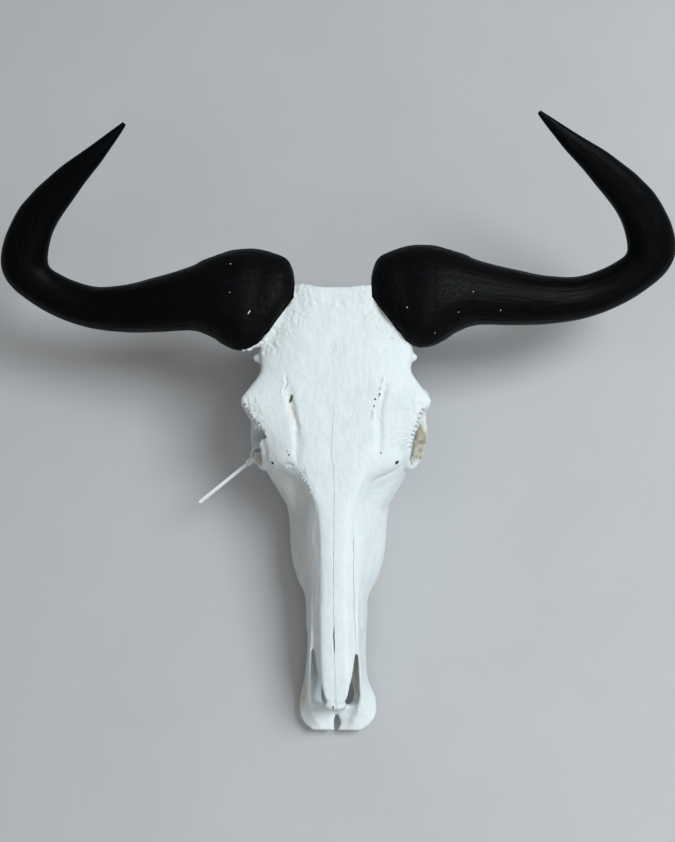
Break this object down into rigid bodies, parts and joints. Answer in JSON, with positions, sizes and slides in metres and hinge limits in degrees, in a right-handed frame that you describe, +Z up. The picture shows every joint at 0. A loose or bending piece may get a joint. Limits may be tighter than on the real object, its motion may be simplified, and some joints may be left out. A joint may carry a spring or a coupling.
{
  "type": "wildebeest skull with horns",
  "caption": "Bleached wildebeest skull without its lower jaw, with a pair of black curved horns and a white cable tie through one eye socket.",
  "frame": {"origin": "middle of the bounding box, at the level that the cheek teeth rest on", "axes": "+X to the animal's left, which is the right side of the picture; +Y from the nose to the back of the skull; +Z up from the table through the forehead"},
  "size_m": [0.702, 0.566, 0.2624],
  "materials": {
    "bone": "matt, bleached white, cream in the hollows",
    "horn": "black, fibrous, with a soft sheen",
    "nylon": "smooth white nylon"
  },
  "bodies": {
    "root": {"cranium": "bone", "nasal_left": "bone", "nasal_right": "bone", "premaxilla_left": "bone", "premaxilla_right": "bone", "maxilla_left": "bone", "maxilla_right": "bone", "lacrimal_left": "bone", "lacrimal_right": "bone", "zygomatic_left": "bone", "zygomatic_right": "bone", "horn_left": "horn", "horn_right": "horn", "cable_tie": "nylon"}
  },
  "joints": []
}
